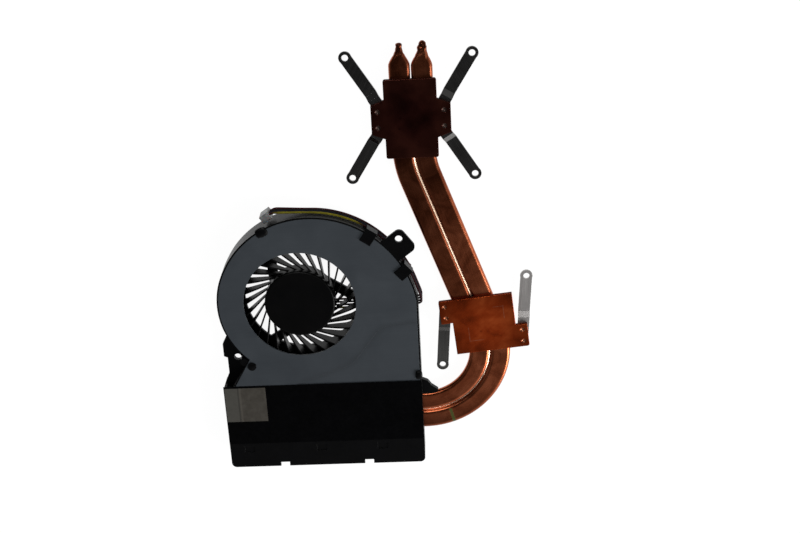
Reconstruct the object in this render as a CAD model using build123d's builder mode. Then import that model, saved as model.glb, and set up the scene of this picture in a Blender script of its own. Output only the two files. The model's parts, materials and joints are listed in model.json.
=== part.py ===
from build123d import *
from math import cos, pi, radians, sin, tan
import os

# Laptop cooling fan with heat pipes, fin stack and contact plates, in millimetres.
# The origin is on the fan's axis at the base's underside. +X runs along the duct,
# +Y from the exhaust to the processor plate, and +Z to the plates' contact faces.

# Levels above the base's underside
floor = 1.2
housing_top = 9.9
cover_thick = 0.6
cover_top = housing_top + cover_thick

# Scroll: the cover's edge has a constant radius from the tongue to scroll_start,
# then opens by scroll_opening until angle 0, where the straight side begins
scroll_radius = 31.15
scroll_start = 150.0
scroll_opening = 13.4
scroll_power = 1.5
scroll_arcs = 3
tongue_angle = 227.0
outlet_y = -35.6
outlet_inset = 2.45
outlet_left = outlet_inset - scroll_radius
heading_step = 1.0
housing_wall = 1.2
rim = 0.6
rim_height = 0.4
cover_gap = 0.1
side_x = scroll_radius + scroll_opening
wall_x = side_x + rim

# Inlets and the motor seat in the floor
inlet_radius = 21.5
bottom_inlet_radius = 22.0
seat_radius = 11.7
strut_width = 3.8
strut_angles = (57.0, 183.0, 301.0)

# Fan lead: four wires across the inlet and the floor, then stacked along the wall
wire_radius = 0.4
wire_count = 4
wire_lane = 1.2
wire_stack = 0.9
wire_low = 3.9
wire_clear = 0.15
groove_depth = 0.8
groove_margin = 0.2
groove_start_x = 6.5
exit_height = 2.0
exit_y = -4.1
exit_reach = 1.2
cable_angle = 0.6
lead_angles = (9.0, 44.0, 79.0)
lead_off, lead_step = 0.6, 0.15
lead_leave = 0.3
bend_share = 0.45
groove_width = wire_lane * (wire_count - 1) + 2 * (wire_radius + groove_margin)

# Plug at the end of the lead, on edge beside the wall
plug_wall_angle, plug_off = 106.2, 2.7
plug_z = 5.4
plug_angle = 35.0
plug_length, plug_thick, plug_height = 3.8, 3.0, 6.2
plug_pitch = 1.25
wire_hole_depth = 1.4
terminal_high, terminal_wide = 0.7, 0.9
terminal_clear = 0.1
plug_chamfer = 0.25

# Housing details
clip_angles, clip_turns = (44.4, 17.4), (2.0, 13.5)
clip_lengths = (4.6, 4.6)
clip_lap = 3.7
clip_tab = 0.6
clip_reach = 1.8
clip_jaw, clip_jaw_reach = 0.7, 0.9
ear_angle, ear_turn = 30.0, -2.8
ear_reach, ear_wide, ear_corner = 8.65, 10.2, 2.3
ear_thick, ear_hole = 1.2, 1.4
ear_hole_out, ear_hole_along = 5.5, 1.95
lug_inset, lug_rise = 1.75, 11.1
lug_hole = 1.4
lug_low, lug_thick = 2.2, 2.0
lug_angle = 202.5
lug_out, lug_top_rise, lug_bottom_rise = 3.7, 16.9, 11.5
lug_neck_out, lug_neck_rise = 2.3, 4.1
post_inset, post_rise, post_radius = 5.1, 11.7, 1.6
stake_inset, stake_rise = 8.0, 9.9
stake_column, stake_pin, stake_head = 1.8, 1.0, 1.7
head_thick = 0.4
rim_stake_angle = 112.0
rim_stake_length, rim_stake_lap = 3.8, 1.7
side_stake_rise = 3.8
side_stake_length, side_stake_lap = 3.3, 1.4

# Step pressed into the cover beside the outlet
step_depth = 0.2
step_side_rise = 26.8
step_turn_inset, step_turn_rise, step_turn_round = 14.3, 24.8, 7.0
step_low_inset, step_low_rise, step_low_round = 25.95, 9.2, 9.0
step_end_inset = 52.0

# Bearing and shaft
tube_low = 0.4
tube_radius, tube_bore = 3.2, 2.4
tube_gap = 0.5
tube_bottom = 0.4
tube_boss_wall, tube_boss_height = 1.2, 0.8
washer_thick, washer_clear = 0.4, 0.05
sleeve_low, sleeve_sunk = 1.6, 0.2
shaft_radius = 1.0
shaft_clear = 0.02
shaft_end_gap = 0.05
shaft_end_round = 0.4

# Rotor
hub_radius, hub_wall = 12.9, 1.0
hub_low, hub_sunk = 2.6, 0.9
hub_roof = 0.8
hub_round = 0.6
cup_thick, cup_low = 0.5, 3.0
collar_radius, collar_height = 2.0, 0.8
magnet_thick, magnet_low, magnet_height = 1.5, 3.2, 4.2
blade_count = 29
blade_gap, blade_thick = 3.15, 0.6
blade_floor_gap, blade_top_gap = 1.2, 1.1
blade_root_sink = 0.4
blade_tangent, blade_phase = 11.1, -0.3
blade_neck_radius, blade_full_radius = 20.5, 22.5
blade_neck_low, blade_neck_top = 5.35, 8.15

# Stator on the bearing tube, with its board
air_gap = 0.4
pole_count = 4
core_ring, core_arm, core_shoe = 1.6, 2.2, 1.2
shoe_span = 72.0
core_thick, coil_top_gap = 2.2, 0.95
insulator_thick = 0.35
coil_thick, coil_gap = 0.8, 0.2
board_thick, board_radius, board_clear = 0.8, 9.5, 0.2
chip_size = (2.9, 1.6, 0.5)
chip_radius, chip_angle = 7.0, 45.0

# Duct, fin stack and films
duct_out, duct_length = 4.2, 35.7
duct_wall = 1.0
nose_length, nose_corner = 10.8, 2.0
notch_centres = (-11.25, 22.7)
notch_width, notch_depth = 3.6, 1.8
snap_centres = (-25.0, 4.0, 28.4)
snap_width, snap_length, snap_depth = 4.0, 3.0, 0.3
snap_inset = 2.7
gusset_outline = ((2.4, 1.1), (3.8, 3.1), (6.3, 5.0), (5.9, 6.1), (3.6, 6.6), (0.0, 6.4))
gusset_low, gusset_thick = 5.0, 2.0
duct_clear = 0.2
fin_pitch, fin_thick, fin_flange = 1.38, 0.25, 0.3
fin_inset = 5.9
film_lap, film_thick = 1.2, 0.12
tape_inset, tape_lap = 0.3, 0.4
tape_wide, tape_long, tape_thick = 16.2, 15.0, 0.13

# Heat pipes: two flattened pipes side by side
pipe_width, pipe_thick = 7.8, 2.8
pipe_pitch = 8.1
pipe_low = 1.5
pipe_top = pipe_low + pipe_thick
pipe_x = 46.2
shoulder_reach = 3.8
upper_bend_y = 52.5
pipe_lean = 19.67
duct_pipe_rise, pipe_end_inset = 9.05, 3.9
upper_bend, lower_bend = 34.0, 26.4
taper_length, nipple_length = 8.0, 1.5
taper_shares = (0.0, 0.35, 0.7, 1.0)
nipple_widths = (2.6, 3.2)
nipple_thick, nipple_round = 2.2, 0.9

# Contact plates
plate_thick, plate_corner = 1.5, 0.8
cpu_offset, cpu_y = 0.55, 70.35
cpu_wide, cpu_long = 19.2, 29.6
cpu_tab = 4.9
cpu_tab_root, cpu_tab_edge = 14.6, 10.8
cpu_rivet_x, cpu_rivet_y = 12.1, 3.0
gpu_x, gpu_y, gpu_turn = 70.24, -13.2, 5.7
gpu_wide, gpu_long = 24.0, 23.2
gpu_tab, gpu_tab_long = 4.4, 9.5
gpu_rivet_x, gpu_rivet_pitch = 14.3, 4.8
rivet_radius, rivet_dimple, rivet_proud = 0.9, 0.5, 0.3
rivet_clear = 0.05

# Spring arms under the plates' tabs
arm_thick = 0.8
arm_width, arm_eye = 4.5, 2.35
arm_hole = 1.2
arm_drop, arm_jog = 1.5, 2.0
root_inset, root_clear = 0.4, 0.45
cpu_bolts = 45.5
cpu_arm_level = 4.3
cpu_arm_x, cpu_arm_y = 10.9, 3.8
gpu_bolt_x, gpu_bolt_y = 18.4, 16.7
gpu_arm_level = 7.0

os.makedirs("parts", exist_ok=True)


def polar(radius, angle):
    """Point at a radius and an angle in degrees about the fan's axis."""
    return (radius * cos(radians(angle)), radius * sin(radians(angle)))


def scroll_reach(angle):
    """Radius of the cover's edge at an angle."""
    opened = max(0.0, scroll_start - angle) / scroll_start
    return scroll_radius + scroll_opening * opened**scroll_power


def scroll_point(angle, extra):
    """Point of the scroll's outline, grown outwards by extra."""
    return polar(scroll_reach(angle) + extra, angle)


def wall_heading(angle):
    """Unit vector along the wall at an angle, anticlockwise."""
    behind, ahead = (scroll_point(angle + step, rim) for step in (-heading_step, heading_step))
    return (Vector(*ahead) - Vector(*behind)).normalized()


def wall_plane(angle, turn=0.0):
    """Upright plane on the wall's outer face: x points outwards and y up."""
    out = wall_heading(angle).rotate(Axis.Z, turn - 90)
    return Plane(origin=(*scroll_point(angle, rim), 0), x_dir=out, z_dir=out.cross(Vector(0, 0, 1)))


def scroll_sketch(level, extra):
    """Face inside the scroll's outline at a level, grown by extra."""
    stops = [scroll_start * step / scroll_arcs for step in range(scroll_arcs, -1, -1)]
    spans = [(tongue_angle, scroll_start), *zip(stops, stops[1:])]
    with BuildSketch(Plane.XY.offset(level)) as outline:
        with BuildLine():
            for first, last in spans:
                middle = (first + last) / 2
                ThreePointArc(*(scroll_point(angle, extra) for angle in (first, middle, last)))
            Polyline(
                scroll_point(0, extra),
                (side_x + extra, outlet_y),
                (outlet_left - extra, outlet_y),
                scroll_point(tongue_angle, extra),
            )
        make_face()
    return outline.sketch


def finish(builder, name):
    """Label a finished piece and write it to its own file."""
    builder.part.label = name
    export_step(builder.part, f"parts/{name}.step")


# Places beside the outlet, measured from its left corner
lug_x, lug_y = outlet_left + lug_inset, outlet_y + lug_rise
lug_side, lug_neck = outlet_left - lug_out, outlet_left - lug_neck_out
post_x, post_y = outlet_left + post_inset, outlet_y + post_rise
stake_x, stake_y = outlet_left + stake_inset, outlet_y + stake_rise
duct_left, duct_end = outlet_left - duct_out, outlet_y - duct_length
nose_start = duct_end + nose_length

# Points along the lead's groove in the floor, which ends at the wall's exit
cable_out = Vector(cos(radians(cable_angle)), sin(radians(cable_angle)), 0)
cable_left = Vector(-cable_out.Y, cable_out.X, 0)
exit_point = Vector(wall_x, exit_y, 0)
groove_run = (wall_x - groove_start_x) / cable_out.X
groove_plane = Plane(origin=exit_point, x_dir=cable_out, z_dir=(0, 0, 1))
groove_bottom = floor - groove_depth

# Plane of the ear's top, flush with the rim: x points outwards from the wall
ear_out = wall_plane(ear_angle, ear_turn)
ear_plane = Plane(
    origin=ear_out.origin + Vector(0, 0, housing_top + rim_height),
    x_dir=ear_out.x_dir,
    z_dir=(0, 0, 1),
)

# Fan housing: a scroll with its floor, wall, rim, fixing lugs and wire clips
with BuildPart() as fan_base:
    extrude(scroll_sketch(0, rim), amount=housing_top + rim_height)

    # Ear on the opening side, rooted in the wall
    with BuildSketch(ear_plane) as ear:
        with Locations((-housing_wall, 0)):
            Rectangle(ear_reach + housing_wall, ear_wide, align=(Align.MIN, Align.CENTER))
        fillet(ear.vertices().sort_by(Axis(ear_plane.origin, ear_plane.x_dir))[-2:], ear_corner)
    extrude(amount=-ear_thick)

    # Lug plate between the scroll, the tongue and the duct
    with BuildSketch(Plane.XY.offset(lug_low)):
        with BuildLine():
            Polyline(
                scroll_point(lug_angle, 0),
                (lug_side, outlet_y + lug_top_rise),
                (lug_side, outlet_y + lug_bottom_rise),
                (lug_neck, outlet_y + lug_bottom_rise - rim),
                (lug_neck, outlet_y + lug_neck_rise),
                (duct_left, outlet_y),
                (outlet_left, outlet_y),
                scroll_point(tongue_angle, 0),
                close=True,
            )
        make_face()
    extrude(amount=lug_thick)
    with Locations((post_x, post_y, 0)):
        Cylinder(
            post_radius,
            housing_top + rim_height,
            align=(Align.CENTER, Align.CENTER, Align.MIN),
        )

    # Clips that lap the cover and hold the lead between two jaws of the wall
    eye_top = wire_low + wire_stack * (wire_count - 1) + wire_radius + wire_clear
    eye_low = wire_low - wire_radius - wire_clear
    for angle, turn, length in zip(clip_angles, clip_turns, clip_lengths):
        with BuildSketch(wall_plane(angle, turn)):
            with BuildLine():
                Polyline(
                    (-clip_lap, cover_top),
                    (-clip_lap, cover_top + clip_tab),
                    (clip_reach, cover_top + clip_tab),
                    (clip_reach, eye_top),
                    (-rim, eye_top),
                    (-rim, eye_low),
                    (clip_jaw_reach, eye_low),
                    (clip_jaw_reach, eye_low - clip_jaw),
                    (-housing_wall, eye_low - clip_jaw),
                    (-housing_wall, cover_top),
                    close=True,
                )
            make_face()
        extrude(amount=length / 2, both=True)

    # Melted tabs of the wall that hold the cover's edge
    tabs = (
        (wall_plane(rim_stake_angle), rim_stake_length, rim_stake_lap),
        (
            Plane(origin=(wall_x, outlet_y + side_stake_rise, 0), x_dir=(1, 0, 0), z_dir=(0, -1, 0)),
            side_stake_length,
            side_stake_lap,
        ),
    )
    for plane, length, lap in tabs:
        with BuildSketch(plane):
            with BuildLine():
                Polyline(
                    (0, housing_top),
                    (0, cover_top + head_thick),
                    (-rim - lap, cover_top + head_thick),
                    (-rim - lap, housing_top),
                    close=True,
                )
            make_face()
        extrude(amount=length / 2, both=True)

    # Room for the air and for the cover
    extrude(scroll_sketch(floor, rim - housing_wall), amount=housing_top - floor, mode=Mode.SUBTRACT)
    extrude(scroll_sketch(housing_top, cover_gap), amount=cover_thick, mode=Mode.SUBTRACT)
    outlet_wide = side_x - outlet_left - 2 * (housing_wall - rim)
    with Locations(((side_x + outlet_left) / 2, outlet_y, floor)):
        Box(
            outlet_wide,
            2 * housing_wall,
            cover_top,
            align=(Align.CENTER, Align.CENTER, Align.MIN),
            mode=Mode.SUBTRACT,
        )

    # Post that passes through the cover and is melted to a head
    with Locations((stake_x, stake_y, floor)):
        Cylinder(stake_column, housing_top - floor, align=(Align.CENTER, Align.CENTER, Align.MIN))
    with Locations((stake_x, stake_y, housing_top)):
        Cylinder(stake_pin, cover_thick, align=(Align.CENTER, Align.CENTER, Align.MIN))
    with Locations((stake_x, stake_y, cover_top)):
        Cylinder(stake_head, head_thick, align=(Align.CENTER, Align.CENTER, Align.MIN))

    # Bottom inlet, crossed by the slanted struts that leave the motor's seat along its edge
    with BuildSketch():
        Circle(bottom_inlet_radius)
        Circle(seat_radius, mode=Mode.SUBTRACT)
        for angle in strut_angles:
            with Locations(Location(polar(seat_radius, angle), angle - 90)):
                Rectangle(
                    bottom_inlet_radius,
                    strut_width,
                    align=(Align.MIN, Align.MAX),
                    mode=Mode.SUBTRACT,
                )
    extrude(amount=floor, mode=Mode.SUBTRACT)

    # Boss and seat of the bearing tube
    with Locations((0, 0, floor)):
        Cylinder(
            tube_radius + tube_boss_wall,
            tube_boss_height,
            align=(Align.CENTER, Align.CENTER, Align.MIN),
        )
    with Locations((0, 0, tube_low)):
        Cylinder(
            tube_radius,
            housing_top,
            align=(Align.CENTER, Align.CENTER, Align.MIN),
            mode=Mode.SUBTRACT,
        )

    # Groove for the lead, with a taller window through the wall
    with BuildSketch(groove_plane.offset(groove_bottom)):
        Rectangle(groove_run, groove_width, align=(Align.MAX, Align.CENTER))
    extrude(amount=groove_depth, mode=Mode.SUBTRACT)
    with BuildSketch(groove_plane.offset(groove_bottom)):
        Rectangle(4 * housing_wall, groove_width)
    extrude(amount=exit_height, mode=Mode.SUBTRACT)

    # Screw holes of the ear and the lug
    with BuildSketch(ear_plane):
        with Locations((ear_hole_out, ear_hole_along)):
            Circle(ear_hole)
    extrude(amount=-ear_thick, mode=Mode.SUBTRACT)
    with Locations((lug_x, lug_y, lug_low)):
        Cylinder(lug_hole, 2 * (lug_thick + rim), mode=Mode.SUBTRACT)
finish(fan_base, "fan_base")

# Cover: sheet steel with the inlet, the post's hole and a pressed step
step_start = (side_x, outlet_y + step_side_rise)
step_turn = (side_x - step_turn_inset, outlet_y + step_turn_rise)
step_low = (side_x - step_low_inset, outlet_y + step_low_rise)
step_end = (side_x - step_end_inset, outlet_y)
with BuildPart() as fan_cover:
    extrude(scroll_sketch(housing_top, 0), amount=cover_thick)
    with BuildSketch(Plane.XY.offset(housing_top)):
        Circle(inlet_radius)
        with Locations((stake_x, stake_y)):
            Circle(stake_pin + cover_gap)
    extrude(amount=cover_thick, mode=Mode.SUBTRACT)
    with BuildSketch(Plane.XY.offset(cover_top)):
        with BuildLine():
            FilletPolyline(
                step_start,
                step_turn,
                step_low,
                step_end,
                radius=(step_turn_round, step_low_round),
            )
            Polyline(step_end, (side_x, outlet_y), step_start)
        make_face()
    extrude(amount=-step_depth, mode=Mode.SUBTRACT)
finish(fan_cover, "fan_cover")

# Levels inside the rotor's cup, from its roof down to the bearing and the stator
hub_top = housing_top - hub_sunk
cup_top = hub_top - hub_roof
cup_ceiling = cup_top - cup_thick
tube_top = cup_ceiling - collar_height - tube_gap
core_low = cup_ceiling - coil_top_gap - coil_thick - insulator_thick - core_thick

# Bearing: a closed tube in the seat, a thrust washer and a sleeve
with BuildPart() as bearing_tube:
    with Locations((0, 0, tube_low)):
        Cylinder(tube_radius, tube_top - tube_low, align=(Align.CENTER, Align.CENTER, Align.MIN))
    with Locations((0, 0, tube_low + tube_bottom)):
        Cylinder(
            tube_bore,
            tube_top,
            align=(Align.CENTER, Align.CENTER, Align.MIN),
            mode=Mode.SUBTRACT,
        )
finish(bearing_tube, "bearing_tube")

washer_low = tube_low + tube_bottom
with BuildPart() as thrust_washer:
    with Locations((0, 0, washer_low)):
        Cylinder(
            tube_bore - washer_clear,
            washer_thick,
            align=(Align.CENTER, Align.CENTER, Align.MIN),
        )
finish(thrust_washer, "thrust_washer")

with BuildPart() as bearing_sleeve:
    with BuildSketch(Plane.XY.offset(sleeve_low)):
        Circle(tube_bore)
        Circle(shaft_radius + shaft_clear, mode=Mode.SUBTRACT)
    extrude(amount=tube_top - sleeve_sunk - sleeve_low)
finish(bearing_sleeve, "bearing_sleeve")

# Rotor: shaft, steel cup and ring magnet inside the moulded impeller
cup_radius = hub_radius - hub_wall
shaft_low = washer_low + washer_thick + shaft_end_gap
with BuildPart() as rotor_shaft:
    with Locations((0, 0, shaft_low)):
        Cylinder(shaft_radius, cup_top - shaft_low, align=(Align.CENTER, Align.CENTER, Align.MIN))
    fillet(rotor_shaft.edges().filter_by(GeomType.CIRCLE).sort_by(Axis.Z)[0], shaft_end_round)
finish(rotor_shaft, "rotor_shaft")

with BuildPart() as rotor_cup:
    with BuildSketch(Plane.XZ):
        with BuildLine():
            Polyline(
                (shaft_radius, cup_top),
                (cup_radius, cup_top),
                (cup_radius, cup_low),
                (cup_radius - cup_thick, cup_low),
                (cup_radius - cup_thick, cup_ceiling),
                (collar_radius, cup_ceiling),
                (collar_radius, cup_ceiling - collar_height),
                (shaft_radius, cup_ceiling - collar_height),
                close=True,
            )
        make_face()
    revolve(axis=Axis.Z)
finish(rotor_cup, "rotor_cup")

magnet_radius = cup_radius - cup_thick
with BuildPart() as rotor_magnet:
    with BuildSketch(Plane.XY.offset(magnet_low)):
        Circle(magnet_radius)
        Circle(magnet_radius - magnet_thick, mode=Mode.SUBTRACT)
    extrude(amount=magnet_height)
finish(rotor_magnet, "rotor_magnet")

# Impeller: straight vanes tangent to a circle, low in the inlet's eye and full outside it
blade_tip = scroll_radius - blade_gap
blade_root = hub_radius - blade_root_sink
blade_low, blade_top = floor + blade_floor_gap, housing_top - blade_top_gap
with BuildPart() as impeller:
    with BuildSketch(Plane.XY.offset(blade_low)):
        with PolarLocations(0, blade_count, start_angle=blade_phase):
            with Locations((0, -blade_tangent)):
                Rectangle(blade_tip, blade_thick, align=(Align.MIN, Align.CENTER))
    extrude(amount=blade_top - blade_low)
    with BuildSketch(Plane.XZ):
        with BuildLine():
            Polyline(
                (blade_root, blade_neck_low),
                (blade_neck_radius, blade_neck_low),
                (blade_full_radius, blade_low),
                (blade_tip, blade_low),
                (blade_tip, blade_top),
                (blade_full_radius, blade_top),
                (blade_neck_radius, blade_neck_top),
                (blade_root, blade_neck_top),
                close=True,
            )
        make_face()
    revolve(axis=Axis.Z, mode=Mode.INTERSECT)

    # Hub, open below for the rotor's cup
    with BuildSketch(Plane.XZ):
        with BuildLine():
            crown = FilletPolyline(
                (0, hub_top),
                (hub_radius, hub_top),
                (hub_radius, hub_low),
                radius=hub_round,
            )
            Polyline(
                crown @ 1,
                (cup_radius, hub_low),
                (cup_radius, cup_top),
                (0, cup_top),
                crown @ 0,
            )
        make_face()
    revolve(axis=Axis.Z)
finish(impeller, "impeller")

# Stator: a four-pole core between insulating caps, with a coil on each arm
core_radius = magnet_radius - magnet_thick - air_gap
ring_radius = tube_radius + core_ring
arm_end = core_radius - core_shoe
with BuildPart() as stator_core:
    with BuildSketch(Plane.XY.offset(core_low)):
        Circle(core_radius)
        Circle(arm_end, mode=Mode.SUBTRACT)
        gap_span = 360 / pole_count - shoe_span
        for pole in range(pole_count):
            gap_angle = (pole + 0.5) * 360 / pole_count
            gap_ends = (gap_angle - gap_span / 2, gap_angle + gap_span / 2)
            with BuildLine():
                Polyline(
                    (0, 0),
                    *(polar(2 * core_radius, angle) for angle in gap_ends),
                    close=True,
                )
            make_face(mode=Mode.SUBTRACT)
        with PolarLocations(0, pole_count):
            Rectangle(arm_end + core_shoe / 2, core_arm, align=(Align.MIN, Align.CENTER))
        Circle(ring_radius)
        Circle(tube_radius, mode=Mode.SUBTRACT)
    extrude(amount=core_thick)
finish(stator_core, "stator_core")

with BuildPart() as stator_insulator:
    for level in (core_low - insulator_thick, core_low + core_thick):
        with BuildSketch(Plane.XY.offset(level)):
            Circle(ring_radius)
            with PolarLocations(0, pole_count):
                Rectangle(arm_end, core_arm, align=(Align.MIN, Align.CENTER))
            Circle(tube_radius, mode=Mode.SUBTRACT)
        extrude(amount=insulator_thick)
finish(stator_insulator, "stator_insulator")

coil_hole = (core_arm + 2 * coil_gap, core_thick + 2 * insulator_thick)
coil_half = coil_hole[0] / 2 + coil_thick
coil_inner = ring_radius + coil_gap
coil_length = (arm_end**2 - coil_half**2) ** 0.5 - coil_gap - coil_inner
with BuildPart() as stator_coils:
    with PolarLocations(0, pole_count):
        with Locations((coil_inner + coil_length / 2, 0, core_low + core_thick / 2)):
            Box(coil_length, 2 * coil_half, coil_hole[1] + 2 * coil_thick)
            Box(coil_length, coil_hole[0], coil_hole[1], mode=Mode.SUBTRACT)
finish(stator_coils, "stator_coils")

with BuildPart() as motor_board:
    with BuildSketch(Plane.XY.offset(floor)):
        Circle(board_radius)
        Circle(tube_radius + tube_boss_wall + board_clear, mode=Mode.SUBTRACT)
    extrude(amount=board_thick)
finish(motor_board, "motor_board")

with BuildPart() as driver_chip:
    with Locations(Location((*polar(chip_radius, chip_angle), floor + board_thick), chip_angle)):
        Box(*chip_size, align=(Align.CENTER, Align.CENTER, Align.MIN))
finish(driver_chip, "driver_chip")

# Plug at the end of the lead, with a crimped terminal for each wire
plug_out = Vector(cos(radians(plug_angle)), sin(radians(plug_angle)), 0)
plug_back = Plane(
    origin=Vector(*scroll_point(plug_wall_angle, rim + plug_off), plug_z) + plug_out * (plug_length / 2),
    x_dir=(0, 0, 1),
    z_dir=plug_out,
)
terminal_plane = plug_back.offset(-wire_hole_depth)
with BuildPart() as fan_plug:
    with BuildSketch(plug_back):
        Rectangle(plug_height, plug_thick)
    extrude(amount=-plug_length)
    chamfer(fan_plug.edges().filter_by(Axis((0, 0, 0), plug_out)), plug_chamfer)
    with BuildSketch(plug_back):
        with GridLocations(plug_pitch, 0, wire_count, 1):
            Circle(wire_radius + terminal_clear)
    extrude(amount=-wire_hole_depth, mode=Mode.SUBTRACT)
    with BuildSketch(terminal_plane):
        with GridLocations(plug_pitch, 0, wire_count, 1):
            Rectangle(terminal_high + 2 * terminal_clear, terminal_wide + 2 * terminal_clear)
    extrude(amount=wire_hole_depth - plug_length, mode=Mode.SUBTRACT)
finish(fan_plug, "fan_plug")

with BuildPart() as plug_terminals:
    with BuildSketch(terminal_plane):
        with GridLocations(plug_pitch, 0, wire_count, 1):
            Rectangle(terminal_high, terminal_wide)
    extrude(amount=wire_hole_depth - plug_length + terminal_clear)
finish(plug_terminals, "plug_terminals")


def bend_radii(route):
    """Radius at each inner corner of a route: as large as its two runs allow."""
    radii = []
    for before, corner, after in zip(route, route[1:], route[2:]):
        first, second = corner - before, after - corner
        half_turn = radians(first.get_angle(second)) / 2
        radii.append(bend_share * min(first.length, second.length) / tan(half_turn))
    return radii


# Lead: one wire in each lane of the groove, stacked along the wall from the top down
for lane, colour in enumerate(("yellow", "blue", "black", "red")):
    low = groove_bottom + wire_radius
    level = wire_low + wire_stack * (wire_count - 1 - lane)
    side = cable_left * ((lane - (wire_count - 1) / 2) * wire_lane)
    corner = exit_point + side + cable_out * exit_reach + Vector(0, 0, low)
    start = corner - cable_out * (groove_run + exit_reach)
    wall_start, wall_middle, wall_end = (
        Vector(*scroll_point(angle, rim + lead_off + lead_step * lane), level) for angle in lead_angles
    )
    plug_hole = plug_back.origin + Vector(0, 0, plug_pitch * ((wire_count - 1) / 2 - lane))
    heading = wall_heading(lead_angles[0])
    climb_end = wall_start - heading * ((wall_start.Y - corner.Y - (level - low)) / heading.Y)
    climb = [start, corner, climb_end, wall_start]
    with BuildPart() as wire:
        with BuildLine() as path:
            FilletPolyline(*climb, radius=bend_radii(climb))
            lower_arc = TangentArc(wall_start, wall_middle, tangent=heading)
            upper_arc = TangentArc(wall_middle, wall_end, tangent=lower_arc % 1)
            leaving = upper_arc % 1
            reach = (plug_hole - wall_end).cross(plug_out).Z / leaving.cross(plug_out).Z
            turn = wall_end + leaving * reach
            landing = [
                wall_end,
                wall_end + leaving * (reach * lead_leave),
                Vector(turn.X, turn.Y, plug_hole.Z),
                plug_hole - plug_out * wire_hole_depth,
            ]
            FilletPolyline(*landing, radius=bend_radii(landing))
        with BuildSketch(Plane(origin=start, z_dir=cable_out)):
            Circle(wire_radius)
        sweep()
    radii = [round(radius, 1) for radius in (*bend_radii(climb), *bend_radii(landing))]
    print(f"wire_{colour} length", round(path.wires()[0].length, 1), "radii", radii)
    finish(wire, f"wire_{colour}")

# Duct: a tray round the fin stack with a roofed nose for the exhaust
duct_wide = wall_x - duct_left
duct_mid = (wall_x + duct_left) / 2
duct_pipe_y = nose_start + duct_pipe_rise
inner_wide = duct_wide - 2 * duct_wall
pipe_pair = pipe_pitch + pipe_width
tray = (Align.CENTER, Align.MIN, Align.MIN)
with BuildPart() as exhaust_duct:
    with BuildSketch() as duct_outline:
        with Locations((duct_mid, duct_end)):
            Rectangle(duct_wide, outlet_y - duct_end, align=(Align.CENTER, Align.MIN))
        fillet(duct_outline.vertices().group_by(Axis.Y)[0], nose_corner)
    extrude(amount=cover_top)
    with Locations((duct_mid, duct_end, duct_wall)):
        Box(inner_wide, outlet_y - duct_end, cover_top - 2 * duct_wall, align=tray, mode=Mode.SUBTRACT)
    with Locations((duct_mid, nose_start, duct_wall)):
        Box(inner_wide, outlet_y - nose_start, cover_top, align=tray, mode=Mode.SUBTRACT)

    # Notches in the nose's lip and shallow snap windows behind it
    with BuildSketch(Plane.XY.offset(cover_top)):
        with Locations(*((x, duct_end) for x in notch_centres)):
            Rectangle(notch_width, notch_depth, align=(Align.CENTER, Align.MIN))
    extrude(amount=-duct_wall, mode=Mode.SUBTRACT)
    with BuildSketch(Plane.XY.offset(cover_top)):
        with Locations(*((x, nose_start - snap_inset) for x in snap_centres)):
            Rectangle(snap_width, snap_length)
    extrude(amount=-snap_depth, mode=Mode.SUBTRACT)

    # Way in for the heat pipes, and a gusset on the same side
    with Locations((wall_x, duct_pipe_y, duct_wall)):
        Box(
            3 * duct_wall,
            pipe_pair + 2 * duct_clear,
            pipe_top - duct_wall,
            align=(Align.CENTER, Align.CENTER, Align.MIN),
            mode=Mode.SUBTRACT,
        )
    with BuildSketch(Plane.XY.offset(gusset_low)):
        with BuildLine():
            Polyline(
                (wall_x, outlet_y),
                *((wall_x + out, outlet_y - down) for out, down in gusset_outline),
                close=True,
            )
        make_face()
    extrude(amount=gusset_thick)
finish(exhaust_duct, "exhaust_duct")

# Fin stack on the pipes: folded fins that form a row of closed channels
fin_back = outlet_y - fin_inset
channel_count = int((inner_wide - 2 * duct_clear - fin_thick) // fin_pitch)
fin_height = cover_top - pipe_top
with BuildPart() as fin_stack:
    with BuildSketch(Plane.XZ.offset(-fin_back)):
        with Locations((duct_mid, pipe_top + fin_height / 2)):
            Rectangle(channel_count * fin_pitch + fin_thick, fin_height)
            with GridLocations(fin_pitch, 0, channel_count, 1):
                Rectangle(fin_pitch - fin_thick, fin_height - 2 * fin_flange, mode=Mode.SUBTRACT)
    extrude(amount=fin_back - nose_start - duct_clear)
finish(fin_stack, "fin_stack")

# Black film over the fin stack and the cover's last strip, and the tape on its corner
with BuildPart() as duct_film:
    with BuildSketch(Plane.XY.offset(cover_top)):
        with Locations((duct_mid, nose_start)):
            Rectangle(duct_wide, outlet_y + film_lap - nose_start, align=(Align.CENTER, Align.MIN))
    extrude(amount=film_thick)
finish(duct_film, "duct_film")

with BuildPart() as ground_tape:
    with BuildSketch(Plane.XY.offset(cover_top + film_thick)):
        with Locations((duct_left + tape_inset, outlet_y + tape_lap)):
            Rectangle(tape_wide, tape_long, align=(Align.MIN, Align.MAX))
    extrude(amount=tape_thick)
finish(ground_tape, "ground_tape")


pipe_shoulder = cpu_y + cpu_long / 2 + shoulder_reach


def pipe_route(side):
    """Corner points of a pipe's centre line, set to one side of the pair's middle."""
    lean = radians(pipe_lean)
    height = pipe_low + pipe_thick / 2
    upper = Vector(pipe_x, upper_bend_y, height)
    run = (upper_bend_y - duct_pipe_y) / cos(lean)
    lower = upper + Vector(sin(lean), -cos(lean), 0) * run
    across_top, across_run, across_duct = Vector(1, 0, 0), Vector(cos(lean), sin(lean), 0), Vector(0, -1, 0)
    return [
        Vector(pipe_x + side, pipe_shoulder, height),
        upper + (across_top + across_run) * (side / (1 + across_top.dot(across_run))),
        lower + (across_run + across_duct) * (side / (1 + across_run.dot(across_duct))),
        Vector(duct_left + pipe_end_inset, duct_pipe_y - side, height),
    ]


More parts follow.
